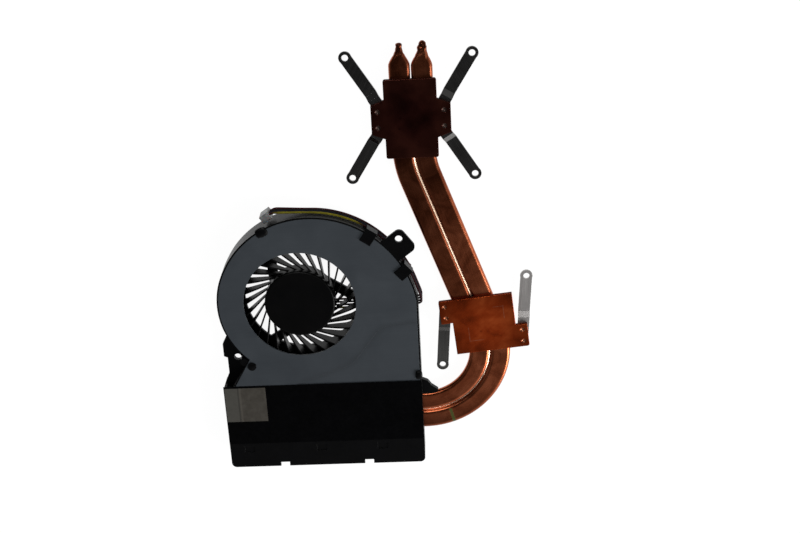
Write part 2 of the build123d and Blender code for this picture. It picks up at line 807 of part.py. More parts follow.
# Heat pipes: flattened tubes with a pinched end above the processor plate
pipes = (("heat_pipe_inner", -pipe_pitch / 2), ("heat_pipe_outer", pipe_pitch / 2))
for (name, side), nipple_width in zip(pipes, nipple_widths):
    shoulder = Plane(
        origin=(pipe_x + side, pipe_shoulder, pipe_low + pipe_thick / 2),
        x_dir=(1, 0, 0),
        z_dir=(0, 1, 0),
    )
    with BuildPart() as heat_pipe:
        with BuildLine():
            FilletPolyline(*pipe_route(side), radius=(upper_bend - side, lower_bend + side))
        with BuildSketch(shoulder):
            SlotOverall(pipe_width, pipe_thick)
        sweep()
        for share in taper_shares:
            swell = (1 + cos(pi * share)) / 2
            with BuildSketch(shoulder.offset(taper_length * share)):
                SlotOverall(
                    nipple_width + (pipe_width - nipple_width) * swell,
                    nipple_thick + (pipe_thick - nipple_thick) * swell,
                )
        loft()
        with BuildSketch(shoulder.offset(taper_length)):
            SlotOverall(nipple_width, nipple_thick)
        extrude(amount=nipple_length)
        fillet(heat_pipe.faces().sort_by(Axis.Y)[-1].edges(), nipple_round)
    finish(heat_pipe, name)

# Contact plates on the pipes, with rivets pressed out of their tabs
cpu_plane = Plane(origin=(pipe_x - cpu_offset, cpu_y, pipe_top))
with BuildPart() as cpu_plate:
    with BuildSketch(cpu_plane) as cpu_outline:
        Rectangle(cpu_wide, cpu_long)
        fillet(cpu_outline.vertices(), plate_corner)
        for side in (-1, 1):
            with BuildLine():
                Polyline(
                    (side * cpu_wide / 2, -cpu_tab_root / 2),
                    (side * (cpu_wide / 2 + cpu_tab), -cpu_tab_edge / 2),
                    (side * (cpu_wide / 2 + cpu_tab), cpu_tab_edge / 2),
                    (side * cpu_wide / 2, cpu_tab_root / 2),
                    close=True,
                )
            make_face()
    extrude(amount=plate_thick)
    with BuildSketch(cpu_plane.offset(plate_thick)):
        with GridLocations(2 * cpu_rivet_x, 2 * cpu_rivet_y, 2, 2):
            Circle(rivet_radius)
    extrude(amount=-rivet_dimple, mode=Mode.SUBTRACT)
    with BuildSketch(cpu_plane):
        with GridLocations(2 * cpu_rivet_x, 2 * cpu_rivet_y, 2, 2):
            Circle(rivet_radius)
    extrude(amount=-arm_thick - rivet_proud)
finish(cpu_plate, "cpu_plate")

gpu_plane = Plane(
    origin=(gpu_x, gpu_y, pipe_top),
    x_dir=(cos(radians(gpu_turn)), sin(radians(gpu_turn)), 0),
    z_dir=(0, 0, 1),
)
gpu_tab_x = gpu_wide / 2 + gpu_tab / 2
gpu_tab_y = gpu_long / 2 - gpu_tab_long / 2
gpu_rivets = [
    (side * gpu_rivet_x, -side * gpu_tab_y + half * gpu_rivet_pitch / 2)
    for side in (-1, 1)
    for half in (-1, 1)
]
with BuildPart() as gpu_plate:
    with BuildSketch(gpu_plane) as gpu_outline:
        Rectangle(gpu_wide, gpu_long)
        with Locations((-gpu_tab_x, gpu_tab_y), (gpu_tab_x, -gpu_tab_y)):
            Rectangle(gpu_tab, gpu_tab_long)
        rows = gpu_outline.vertices().group_by(Axis(gpu_plane.origin, gpu_plane.y_dir))
        fillet(rows[0] + rows[-1], plate_corner)
    extrude(amount=plate_thick)
    with BuildSketch(gpu_plane.offset(plate_thick)):
        with Locations(*gpu_rivets):
            Circle(rivet_radius)
    extrude(amount=-rivet_dimple, mode=Mode.SUBTRACT)
    with BuildSketch(gpu_plane):
        with Locations(*gpu_rivets):
            Circle(rivet_radius)
    extrude(amount=-arm_thick - rivet_proud)
finish(gpu_plate, "gpu_plate")


def spring_arm(start, eye, level_run):
    """Add an arm that runs level under its tab, steps down and ends in a round eye."""
    run = Vector(eye.X - start.X, eye.Y - start.Y, 0)
    along = run.normalized()
    low = pipe_top - arm_drop
    upper = [(0, pipe_top), (level_run, pipe_top), (level_run + arm_jog, low), (run.length, low)]
    lower = [(reach, level - arm_thick) for reach, level in reversed(upper)]
    side = Plane(origin=(start.X, start.Y, 0), x_dir=along, z_dir=along.cross(Vector(0, 0, 1)))
    with BuildSketch(side) as profile:
        with BuildLine():
            Polyline(*upper, *lower, close=True)
        make_face()
    extrude(profile.sketch, amount=arm_width / 2, both=True)
    for radius, mode in ((arm_eye, Mode.ADD), (arm_hole, Mode.SUBTRACT)):
        with BuildSketch(Plane.XY.offset(low)) as disc:
            with Locations((eye.X, eye.Y)):
                Circle(radius)
        extrude(disc.sketch, amount=-arm_thick, mode=mode)


# Spring arms: a V-shaped pair for the processor plate
for name, side in (("cpu_arm_left", -1), ("cpu_arm_right", 1)):
    root_outer = side * (cpu_wide / 2 + cpu_tab - root_inset)
    root_inner = cpu_offset + side * (pipe_pair / 2 + root_clear)
    with BuildPart() as cpu_arm:
        with BuildSketch(cpu_plane):
            with Locations(((root_outer + root_inner) / 2, 0)):
                Rectangle(abs(root_outer - root_inner), cpu_tab_edge - 2 * root_inset)
        extrude(amount=-arm_thick)
        for end in (-1, 1):
            start = cpu_plane.from_local_coords(Vector(side * cpu_arm_x, end * cpu_arm_y, 0))
            eye = cpu_plane.from_local_coords(Vector(side * cpu_bolts / 2, end * cpu_bolts / 2, 0))
            spring_arm(start, eye, cpu_arm_level)
        with BuildSketch(cpu_plane):
            with Locations((side * cpu_rivet_x, cpu_rivet_y), (side * cpu_rivet_x, -cpu_rivet_y)):
                Circle(rivet_radius + rivet_clear)
        extrude(amount=-arm_thick, mode=Mode.SUBTRACT)
    finish(cpu_arm, name)

# Spring arms of the graphics plate, one on each tab
for name, side in (("gpu_arm_left", -1), ("gpu_arm_right", 1)):
    with BuildPart() as gpu_arm:
        with BuildSketch(gpu_plane):
            with Locations((side * gpu_tab_x, -side * gpu_tab_y)):
                Rectangle(gpu_tab - root_inset, gpu_tab_long - 2 * root_inset)
        extrude(amount=-arm_thick)
        start = gpu_plane.from_local_coords(Vector(side * gpu_rivet_x, -side * gpu_tab_y, 0))
        eye = gpu_plane.from_local_coords(Vector(side * gpu_bolt_x, side * gpu_bolt_y, 0))
        spring_arm(start, eye, gpu_arm_level)
        with BuildSketch(gpu_plane):
            with Locations(*(place for place in gpu_rivets if place[0] * side > 0)):
                Circle(rivet_radius + rivet_clear)
        extrude(amount=-arm_thick, mode=Mode.SUBTRACT)
    finish(gpu_arm, name)
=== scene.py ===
"""Looks of a laptop cooling fan with its heat pipes and contact plates."""
import json
from math import cos, pi, radians, sin, sqrt, tan

import bpy
from mathutils import Matrix, Vector, noise


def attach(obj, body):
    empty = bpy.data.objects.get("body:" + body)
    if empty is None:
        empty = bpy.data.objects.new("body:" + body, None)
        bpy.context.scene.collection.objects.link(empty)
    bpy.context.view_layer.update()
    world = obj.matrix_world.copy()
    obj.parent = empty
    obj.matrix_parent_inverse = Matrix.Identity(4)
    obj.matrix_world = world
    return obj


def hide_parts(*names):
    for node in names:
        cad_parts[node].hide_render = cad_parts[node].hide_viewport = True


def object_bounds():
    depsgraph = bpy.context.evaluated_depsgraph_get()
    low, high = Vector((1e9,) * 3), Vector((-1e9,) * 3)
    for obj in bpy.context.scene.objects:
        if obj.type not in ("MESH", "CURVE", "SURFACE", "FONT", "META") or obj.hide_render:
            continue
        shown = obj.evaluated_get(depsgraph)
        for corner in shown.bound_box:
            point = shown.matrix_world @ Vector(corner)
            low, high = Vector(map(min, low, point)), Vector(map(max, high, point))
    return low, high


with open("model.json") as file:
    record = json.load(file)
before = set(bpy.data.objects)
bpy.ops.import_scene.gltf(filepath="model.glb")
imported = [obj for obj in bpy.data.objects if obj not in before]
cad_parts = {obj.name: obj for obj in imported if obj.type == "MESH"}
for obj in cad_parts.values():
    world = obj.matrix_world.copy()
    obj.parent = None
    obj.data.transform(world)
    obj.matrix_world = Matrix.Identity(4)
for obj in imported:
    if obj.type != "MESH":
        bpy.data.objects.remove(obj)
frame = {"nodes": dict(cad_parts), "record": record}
cad_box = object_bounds()

# Sizes and places are in millimetres, apart from the floor's and the lamps', which are in metres
MM = 0.001

# Middles of the two contact plates, and the second's turn in degrees
CPU_AT, GPU_AT, GPU_TURN = (45.65, 70.35), (70.24, -13.2), 5.7

# A scratched line's half width, the soft edge beside it and the fade at its ends
LINE_HALF, LINE_SOFT, LINE_FADE = 0.05, 0.16, 0.4


def set_stops(ramp, stops):
    """Gives a colour ramp its (position, colour) stops."""
    elements = ramp.elements
    elements.remove(elements[1])
    for index, (position, colour) in enumerate(stops):
        element = elements[0] if index == 0 else elements.new(position)
        element.position = position
        element.color = (*colour, 1)


class Finish:
    """A node material under construction; its coordinates are the part's millimetres."""

    def __init__(self, name):
        self.material = bpy.data.materials.new(name)
        self.material.use_nodes = True
        self.tree = self.material.node_tree
        self.tree.nodes.clear()
        self.shader = self.add("ShaderNodeBsdfPrincipled")
        output = self.add("ShaderNodeOutputMaterial")
        self.tree.links.new(self.shader.outputs[0], output.inputs["Surface"])
        self.coordinates = self.add("ShaderNodeTexCoord")
        scale = self.add("ShaderNodeVectorMath", "SCALE")
        self.tree.links.new(self.coordinates.outputs["Object"], scale.inputs[0])
        scale.inputs["Scale"].default_value = 1 / MM
        self.place = scale.outputs[0]

    def add(self, kind, operation=None):
        node = self.tree.nodes.new(kind)
        if operation:
            node.operation = operation
        return node

    def feed(self, socket, value):
        """Links a socket, or sets a constant on it."""
        if isinstance(value, bpy.types.NodeSocket):
            self.tree.links.new(value, socket)
        elif isinstance(value, tuple) and len(socket.default_value) == 4 and len(value) == 3:
            socket.default_value = (*value, 1)
        else:
            socket.default_value = value

    def set(self, **values):
        """Feeds the shader's own sockets, named in lower case with underscores."""
        sockets = {socket.name.lower().replace(" ", "_"): socket for socket in self.shader.inputs}
        for name, value in values.items():
            self.feed(sockets[name], value)

    def stretched(self, scale, turn=0.0, centre=(0, 0, 0), place=None):
        """Coordinates about a centre, turned back by degrees about Z, then scaled on each axis."""
        node = self.add("ShaderNodeMapping")
        node.vector_type = "TEXTURE"
        self.feed(node.inputs["Vector"], place or self.place)
        node.inputs["Location"].default_value = centre
        node.inputs["Rotation"].default_value = (0, 0, radians(turn))
        node.inputs["Scale"].default_value = tuple(1 / value for value in scale)
        return node.outputs[0]

    def about(self, centre, turn):
        """Unscaled coordinates about a point of the plan, turned back by degrees."""
        return self.stretched((1, 1, 1), turn, (*centre, 0))

    def noise(self, scale, detail=2.0, roughness=0.5, distortion=0.0, place=None):
        node = self.add("ShaderNodeTexNoise")
        self.feed(node.inputs["Vector"], place or self.place)
        node.inputs["Scale"].default_value = scale
        node.inputs["Detail"].default_value = detail
        node.inputs["Roughness"].default_value = roughness
        node.inputs["Distortion"].default_value = distortion
        return node.outputs["Fac"]

    def wave(self, scale, axis, place):
        node = self.add("ShaderNodeTexWave")
        node.bands_direction = axis
        self.feed(node.inputs["Vector"], place)
        node.inputs["Scale"].default_value = scale
        return node.outputs["Fac"]

    def cells(self, scale, place=None):
        node = self.add("ShaderNodeTexVoronoi")
        self.feed(node.inputs["Vector"], place or self.place)
        node.inputs["Scale"].default_value = scale
        return node.outputs["Distance"]

    def spread(self, value, low, high, to_low=0.0, to_high=1.0):
        """Maps a range of a value to another range, clamped."""
        node = self.add("ShaderNodeMapRange")
        limits = {"From Min": low, "From Max": high, "To Min": to_low, "To Max": to_high}
        for name, number in limits.items():
            node.inputs[name].default_value = number
        self.feed(node.inputs["Value"], value)
        return node.outputs[0]

    def math(self, operation, *values):
        node = self.add("ShaderNodeMath", operation)
        for socket, value in zip(node.inputs, values):
            self.feed(socket, value)
        return node.outputs[0]

    def times(self, first, second):
        return self.math("MULTIPLY", first, second)

    def total(self, *terms):
        """Weighted sum of (value, weight) pairs."""
        result = None
        for value, weight in terms:
            term = self.times(value, weight)
            result = term if result is None else self.math("ADD", result, term)
        return result

    def axis(self, name, place=None):
        node = self.add("ShaderNodeSeparateXYZ")
        self.feed(node.inputs[0], place or self.place)
        return node.outputs[name]

    def upright(self, normal):
        """1 on a face that looks straight up or down, 0 on a wall."""
        geometry = self.add("ShaderNodeNewGeometry")
        return self.math("ABSOLUTE", self.axis("Z", geometry.outputs[normal]))

    def near(self, value, target, half, soft):
        """1 where a value is within half of the target, falling to 0 over a soft edge."""
        gap = self.math("ABSOLUTE", self.math("SUBTRACT", value, target))
        return self.spread(gap, half, half + soft, 1.0, 0.0)

    def thin_line(self, across, target, along, start, end):
        """1 on a thin straight line, at a target across it and from a start to an end along it."""
        width = self.near(across, target, LINE_HALF, LINE_SOFT)
        length = self.near(along, (start + end) / 2, abs(start - end) / 2, LINE_FADE)
        return self.times(width, length)

    def mix(self, factor, first, second):
        node = self.add("ShaderNodeMix")
        node.data_type = "RGBA"
        self.feed(node.inputs["Factor"], factor)
        self.feed(node.inputs[6], first)
        self.feed(node.inputs[7], second)
        return node.outputs[2]

    def stain(self, base, share, strength, colour):
        """Lays a colour over the base where the share is, up to a strength."""
        return self.mix(self.times(share, strength), base, colour)

    def ramp(self, value, *stops):
        node = self.add("ShaderNodeValToRGB")
        set_stops(node.color_ramp, stops)
        self.feed(node.inputs["Fac"], value)
        return node.outputs["Color"]

    def rounded(self, radius):
        """Normals rounded over the solids' sharp edges."""
        node = self.add("ShaderNodeBevel")
        node.samples = 4
        node.inputs["Radius"].default_value = radius * MM
        return node.outputs[0]

    def bump(self, height, depth, normal=None):
        """Relief of a height field, its depth in millimetres."""
        node = self.add("ShaderNodeBump")
        node.inputs["Strength"].default_value = 1.0
        node.inputs["Distance"].default_value = depth * MM
        self.feed(node.inputs["Height"], height)
        if normal is not None:
            self.feed(node.inputs["Normal"], normal)
        return node.outputs[0]


def moulded(name, dark, light, roughness, grain, depth, gloss=0.25, edge=0.15):
    """Moulded plastic with a fine eroded grain and a faint cloudiness."""
    finish = Finish(name)
    cloud = finish.noise(0.11, detail=4, roughness=0.55)
    speck = finish.noise(grain, detail=3, roughness=0.6)
    tone = finish.total((cloud, 0.7), (speck, 0.3))
    finish.set(
        base_color=finish.ramp(tone, (0.38, dark), (0.62, light)),
        roughness=finish.spread(speck, 0.3, 0.7, roughness - 0.08, roughness + 0.1),
        specular_ior_level=gloss,
        normal=finish.bump(speck, depth, finish.rounded(edge)),
    )
    return finish.material


def sheet(name, low, high, roughness, turn, scratch, lines_share=0.35, edge=0.12):
    """Rolled metal sheet with fine lines along one direction and faint clouds."""
    finish = Finish(name)
    rolled = finish.stretched((0.06, 5.0, 0.6), turn)
    lines = finish.noise(1.0, detail=4, roughness=0.65, place=rolled)
    cloud = finish.noise(0.1, detail=4, roughness=0.55, distortion=0.4)
    tone = finish.total((lines, lines_share), (cloud, 1 - lines_share))
    finish.set(
        metallic=1.0,
        base_color=finish.ramp(tone, (0.36, low), (0.64, high)),
        roughness=finish.spread(lines, 0.25, 0.75, roughness - 0.06, roughness + 0.08),
        normal=finish.bump(lines, scratch, finish.rounded(edge)),
    )
    return finish.material


def insulation(name, dark, light, kept_span=None):
    """Soft wire insulation, a little dusty, with its colour darkened to dark crimson outside a kept span of
    X.
    """
    dark_crimson = (0.022, 0.005, 0.006)
    finish = Finish(name)
    cloud = finish.noise(0.4, detail=3)
    fine = finish.noise(6.0, detail=2)
    base = finish.ramp(cloud, (0.35, dark), (0.65, light))
    if kept_span:
        low, high = kept_span
        kept = finish.near(finish.axis("X"), (low + high) / 2, (high - low) / 2, 4.0)
        # Outside the kept span the colour darkens to dark crimson
        base = finish.mix(kept, dark_crimson, base)
    finish.set(
        base_color=base,
        roughness=finish.spread(fine, 0.3, 0.7, 0.5, 0.64),
        specular_ior_level=0.06,
        normal=finish.bump(fine, 0.006),
    )
    return finish.material


# Lines of the cover's step: a point of each and its heading in degrees
STEP_LINES = (((41.8, -9.2), 188.1), ((25.7, -16.9), 233.2), ((15.8, -27.4), 199.4))
STEP_HALF, STEP_DEPTH, CREASE_REACH = 1.6, 0.06, 2.4


def coated_cover():
    """Satin coated steel: slate grey with rolling lines, dust, a soft pressed step and painted shade along
    the step's crease.
    """
    slate_dark, slate_light = (0.0285, 0.034, 0.0405), (0.0355, 0.042, 0.0495)
    painted_crease_shade, dust_grey = (0.022, 0.026, 0.03), (0.1, 0.11, 0.12)
    finish = Finish("cover_sheet")
    upper, slope, lower = (finish.axis("Y", finish.about(point, heading)) for point, heading in STEP_LINES)
    inside = finish.math("SMOOTH_MIN", upper, finish.math("SMOOTH_MAX", slope, lower, 6.0), 4.0)
    crease_shade_share = finish.math("POWER", finish.near(inside, 0.0, 0.0, CREASE_REACH), 2.0)
    press = finish.spread(inside, -STEP_HALF, STEP_HALF)
    rolled = finish.stretched((0.05, 4.0, 1.0), 2)
    lines = finish.noise(1.0, detail=5, roughness=0.7, place=rolled)
    cloud = finish.noise(0.07, detail=4, roughness=0.5, distortion=0.6)
    dust = finish.spread(finish.cells(1.1), 0.03, 0.07, 1.0, 0.0)
    tone = finish.total((cloud, 0.6), (lines, 0.4))
    base = finish.ramp(tone, (0.35, slate_dark), (0.65, slate_light))
    # Painted shade: the colour darkens along the step's crease
    base = finish.stain(base, crease_shade_share, 0.4, painted_crease_shade)
    finish.set(
        base_color=finish.stain(base, dust, 0.25, dust_grey),
        specular_ior_level=0.3,
        roughness=finish.spread(tone, 0.3, 0.7, 0.42, 0.56),
        normal=finish.bump(press, STEP_DEPTH, finish.bump(lines, 0.003, finish.rounded(0.2))),
    )
    return finish.material


def plate_copper(name, centre, turn, marks, shades, rim, rim_share):
    """Milled copper plate, stained by heat and handling, with painted shade on its upright sides; marks are
    thin pale corner lines.
    """
    dark, mid, bright = shades
    spot_shade = tuple(0.35 * value for value in dark)
    painted_side_shade = tuple(0.15 * value for value in dark)
    scratch_shade = (0.7, 0.42, 0.28)
    finish = Finish(name)
    local = finish.about(centre, turn)
    milled = finish.stretched((0.05, 2.6, 0.8), turn + 38)
    lines = finish.noise(1.0, detail=4, roughness=0.6, place=milled)
    blot = finish.noise(0.12, detail=4, roughness=0.5, distortion=0.25)
    fine = finish.noise(1.1, detail=5, roughness=0.65, distortion=0.4)
    spots = finish.spread(finish.cells(0.22, finish.stretched((1, 1, 0.1))), 0.05, 0.16, 1.0, 0.0)
    tone = finish.total((blot, 0.8), (lines, 0.17), (fine, 0.03))
    base = finish.ramp(tone, (0.36, dark), (0.5, mid), (0.66, bright))
    x, y = finish.axis("X", local), finish.axis("Y", local)
    outwards = finish.math("SQRT", finish.total((finish.times(x, x), 1.0), (finish.times(y, y), 1.0)))
    base = finish.mix(finish.spread(outwards, 5.0, 17.0, 0.0, rim_share), base, rim)
    base = finish.stain(base, spots, 0.45, spot_shade)
    for (corner_x, corner_y), (end_x, end_y) in marks:
        level = finish.thin_line(y, corner_y, x, corner_x, end_x)
        plumb = finish.thin_line(x, corner_x, y, corner_y, end_y)
        worn = finish.spread(fine, 0.35, 0.6, 0.05, 0.32)
        base = finish.mix(finish.times(finish.math("MAXIMUM", level, plumb), worn), base, scratch_shade)
    # Painted shade: the plate's upright side faces are darkened, and made rougher
    side = finish.spread(finish.upright("True Normal"), 0.3, 0.7, 0.75, 0.0)
    finish.set(
        metallic=1.0,
        base_color=finish.mix(side, base, painted_side_shade),
        roughness=finish.total((finish.spread(blot, 0.3, 0.7, 0.24, 0.33), 1.0), (side, 0.6)),
        normal=finish.bump(finish.total((lines, 0.7), (fine, 0.3)), 0.003, finish.rounded(0.25)),
    )
    return finish.material


# Tarnish and painted shade on the pipes: places along Y and the share of the copper that is darkened there,
# partly tarnish and partly painted shade for the dark the pipes reflect
TARNISH_AND_SHADE_FROM, TARNISH_AND_SHADE_TO = -60.0, 90.0
INNER_TARNISH_AND_SHADE = ((-60, 0.8), (-46, 0.2), (-36, 0.0), (-10, 0.1), (20, 0.46), (50, 0.72), (85, 0.6))
OUTER_TARNISH_AND_SHADE = ((-60, 0.74), (-46, 0.12), (-36, 0.0), (-10, 0.0), (20, 0.0), (50, 0.66), (85, 0.55))
BURNT_FROM, BURNT_TO = 92.5, 97.5
INK_X, INK_Y, INK_LEAN, INK_HALF_WIDE, INK_HALF_LONG = 42.9, -54.0, 0.26, 0.5, 2.9


def pipe_copper(name, inked, tarnish_and_shade_stops):
    """Drawn copper tube: lines along it, tarnish that is partly painted shade, lighter shoulders that are
    partly wear and partly painted highlight, a burnt end and an ink stroke.
    """
    dark, mid, bright = (0.27, 0.063, 0.025), (0.42, 0.11, 0.046), (0.56, 0.17, 0.08)
    dulled_and_shaded, burnt_shade, ink_green = (0.04, 0.012, 0.007), (0.02, 0.007, 0.005), (0.026, 0.055, 0.005)
    finish = Finish(name)
    drawn = finish.stretched((3.0, 0.045, 1.0), place=finish.coordinates.outputs["UV"])
    lines = finish.noise(1.0, detail=4, roughness=0.62, place=drawn)
    peel = finish.noise(1.6, detail=4, roughness=0.6, distortion=0.3)
    blot = finish.noise(0.12, detail=5, roughness=0.6, distortion=0.8)
    tone = finish.total((blot, 0.6), (lines, 0.35), (peel, 0.05))
    base = finish.ramp(tone, (0.36, dark), (0.5, mid), (0.66, bright))
    x, y = finish.axis("X"), finish.axis("Y")
    span = TARNISH_AND_SHADE_TO - TARNISH_AND_SHADE_FROM
    stops = [((place - TARNISH_AND_SHADE_FROM) / span, (share, share, share)) for place, share in tarnish_and_shade_stops]
    # Partly tarnish and partly painted shade: the copper darkens along Y by the stops
    tarnish_and_shade = finish.ramp(finish.spread(y, TARNISH_AND_SHADE_FROM, TARNISH_AND_SHADE_TO), *stops)
    # Partly wear and partly painted highlight: the shoulders keep more of the bright copper than the flat
    rubbed_and_highlit = finish.spread(finish.upright("Normal"), 0.5, 0.95, 0.4, 1.0)
    base = finish.stain(base, tarnish_and_shade, rubbed_and_highlit, dulled_and_shaded)
    patchy = finish.spread(finish.noise(0.9, detail=4, roughness=0.6), 0.36, 0.6, 0.35, 1.0)
    burnt = finish.times(finish.spread(y, BURNT_FROM, BURNT_TO), patchy)
    base = finish.stain(base, burnt, 0.9, burnt_shade)
    metal = 1.0
    if inked:
        lean = finish.math("ADD", x, finish.times(y, INK_LEAN))
        edge = finish.math("ADD", lean, finish.times(finish.noise(1.5, detail=2), 0.5))
        wide = finish.near(edge, INK_X, INK_HALF_WIDE, 0.25)
        long = finish.near(y, INK_Y, INK_HALF_LONG, 0.4)
        stroke = finish.times(wide, long)
        base = finish.stain(base, stroke, 0.9, ink_green)
        metal = finish.math("SUBTRACT", 1.0, stroke)
    finish.set(
        metallic=metal,
        base_color=base,
        roughness=finish.spread(blot, 0.3, 0.7, 0.2, 0.3),
        normal=finish.bump(finish.total((lines, 0.8), (peel, 0.2)), 0.003),
    )
    return finish.material


# Places along X on the tape: the end of its paler strip, and the fold's line of painted shade and line of
# painted highlight
STRIP_END, FOLD_DARK, FOLD_HIGHLIGHT = -26.9, -27.35, -26.55


def woven_tape():
    """Conductive cloth tape: a fine weave, a paler strip at its left and a fold drawn as a line of painted
    shade beside a line of painted highlight.
    """
    cloth_dark, cloth_light, strip_grey = (0.042, 0.037, 0.03), (0.06, 0.054, 0.045), (0.07, 0.069, 0.061)
    fold_painted_shade, fold_painted_highlight = (0.02, 0.019, 0.016), (0.11, 0.1, 0.085)
    finish = Finish("cloth_tape")
    place = finish.stretched((1, 1, 1), 1.5)
    weave = finish.math("MAXIMUM", finish.wave(1.15, "X", place), finish.wave(1.15, "Y", place))
    cloud = finish.noise(0.35, detail=5, roughness=0.6, distortion=0.5)
    x = finish.axis("X")
    base = finish.ramp(cloud, (0.34, cloth_dark), (0.66, cloth_light))
    base = finish.stain(base, finish.spread(x, STRIP_END - 0.3, STRIP_END, 1.0, 0.0), 0.6, strip_grey)
    # The fold has no relief: a line of painted shade and a line of painted highlight stand in for it
    base = finish.stain(base, finish.near(x, FOLD_DARK, 0.12, 0.3), 0.55, fold_painted_shade)
    base = finish.stain(base, finish.near(x, FOLD_HIGHLIGHT, 0.15, 0.4), 0.35, fold_painted_highlight)
    finish.set(
        base_color=base,
        metallic=0.25,
        roughness=finish.spread(weave, 0.2, 1.0, 0.72, 0.5),
        specular_ior_level=0.25,
        normal=finish.bump(finish.total((weave, 0.7), (cloud, 0.3)), 0.03),
    )
    return finish.material


def nylon():
    """Milky moulded nylon that lets some light through; its white is given as grey tones, a painted shade.
    """
    finish = Finish("nylon")
    cloud = finish.noise(0.8, detail=3)
    # Painted shade: the plug's white is darkened to grey
    finish.set(
        base_color=finish.ramp(cloud, (0.3, (0.15, 0.15, 0.15)), (0.7, (0.24, 0.24, 0.237))),
        roughness=finish.spread(cloud, 0.3, 0.7, 0.3, 0.42),
        transmission_weight=0.2,
        subsurface_weight=0.3,
        subsurface_scale=MM,
        normal=finish.rounded(0.12),
    )
    return finish.material


black_plastic = moulded(
    "black_moulded", (0.0012, 0.0012, 0.0014), (0.002, 0.002, 0.0023), 0.34, 5.0, 0.006, gloss=0.085
)
rotor_plastic = moulded(
    "rotor_moulded", (0.001, 0.001, 0.0011), (0.0018, 0.0017, 0.0018), 0.34, 4.0, 0.004, gloss=0.085
)
black_film = moulded(
    "film", (0.0008, 0.0008, 0.001), (0.0013, 0.0013, 0.0016), 0.32, 0.7, 0.008, gloss=0.035, edge=0.1
)
SPRING_SHADES = ((0.16, 0.156, 0.152), (0.23, 0.225, 0.22))
COPPER_SHADES = ((0.36, 0.048, 0.011), (0.56, 0.073, 0.014), (0.72, 0.13, 0.03))
COPPER_RIM = (0.13, 0.02, 0.006)
# The processor plate's tones are partly heat tarnish and partly painted shade, darker than its copper to
# stand for the dark it reflects; its rim is lighter
BURNT_AND_SHADE_TONES = ((0.034, 0.008, 0.007), (0.046, 0.011, 0.009), (0.06, 0.015, 0.011))
BURNT_AND_SHADE_RIM = (0.115, 0.034, 0.022)
GPU_MARKS = (((8.0, 6.76), (4.4, 1.4)), ((-6.3, -6.6), (-1.2, -0.9)))
YELLOW_KEPT_SPAN = (-4.0, 22.0)

# Finishes by node name, or by material slot for nodes that share one
finishes = {
    "housing_plastic": black_plastic,
    "rotor_plastic": rotor_plastic,
    "cover_steel": coated_cover(),
    "black_film": black_film,
    "grey_tape": woven_tape(),
    "fin_metal": sheet("fin_sheet", (0.5, 0.5, 0.5), (0.66, 0.66, 0.66), 0.35, 90, 0.002),
    "wire_red": insulation("red_insulation", (0.03, 0.003, 0.004), (0.05, 0.005, 0.007)),
    "wire_black": insulation("black_insulation", (0.003, 0.003, 0.003), (0.006, 0.006, 0.006)),
    "wire_yellow": insulation("yellow_insulation", (0.15, 0.13, 0.01), (0.22, 0.19, 0.016), YELLOW_KEPT_SPAN),
    "wire_blue": insulation("blue_insulation", (0.005, 0.005, 0.01), (0.009, 0.009, 0.018)),
    "plug_white": nylon(),
    "terminal_metal": sheet("tin", (0.5, 0.5, 0.48), (0.7, 0.7, 0.68), 0.3, 35, 0.003),
    "steel": sheet("plated", (0.4, 0.4, 0.4), (0.55, 0.55, 0.55), 0.3, 0, 0.003),
    "magnet": moulded("bonded_magnet", (0.03, 0.03, 0.03), (0.05, 0.05, 0.05), 0.6, 3.0, 0.01),
    "brass": sheet("brass", (0.5, 0.36, 0.13), (0.62, 0.46, 0.18), 0.3, 0, 0.003),
    "bronze": moulded("sintered", (0.2, 0.13, 0.07), (0.3, 0.2, 0.1), 0.5, 6.0, 0.02),
    "white_plastic": moulded("white_moulded", (0.6, 0.6, 0.57), (0.7, 0.7, 0.67), 0.45, 4.0, 0.006),
    "core_steel": sheet("lamination", (0.2, 0.2, 0.21), (0.3, 0.3, 0.31), 0.45, 0, 0.006),
    "coil_copper": sheet("enamelled", (0.35, 0.1, 0.03), (0.55, 0.19, 0.06), 0.3, 0, 0.02),
    "board_green": moulded("solder_mask", (0.012, 0.09, 0.035), (0.02, 0.13, 0.05), 0.35, 2.0, 0.01, 0.5),
    "chip_black": moulded("chip_epoxy", (0.01, 0.01, 0.01), (0.018, 0.018, 0.018), 0.55, 6.0, 0.01),
    "heat_pipe_inner": pipe_copper("inner_pipe_copper", False, INNER_TARNISH_AND_SHADE),
    "heat_pipe_outer": pipe_copper("outer_pipe_copper", True, OUTER_TARNISH_AND_SHADE),
    "cpu_plate": plate_copper("cpu_copper", CPU_AT, 0, (), BURNT_AND_SHADE_TONES, BURNT_AND_SHADE_RIM, 0.55),
    "gpu_plate": plate_copper("gpu_copper", GPU_AT, GPU_TURN, GPU_MARKS, COPPER_SHADES, COPPER_RIM, 0.66),
    "cpu_arm_left": sheet("spring_a", *SPRING_SHADES, 0.17, 60, 0.0012),
    "cpu_arm_right": sheet("spring_b", *SPRING_SHADES, 0.17, 120, 0.0012),
    "gpu_arm_left": sheet("spring_c", (0.14, 0.138, 0.133), (0.205, 0.202, 0.196), 0.24, 85, 0.002, 0.5),
    "gpu_arm_right": sheet("spring_d", (0.34, 0.325, 0.315), (0.48, 0.46, 0.45), 0.42, 86, 0.008, 0.6),
}
for part in frame["record"]["subparts"]:
    node = frame["nodes"][part["node"]]
    node.data.materials.clear()
    node.data.materials.append(finishes.get(part["node"]) or finishes[part["material_slot"]])


def add_object(name, data):
    """A new object in the scene that shows the given data."""
    holder = bpy.data.objects.new(name, data)
    bpy.context.scene.collection.objects.link(holder)
    return holder


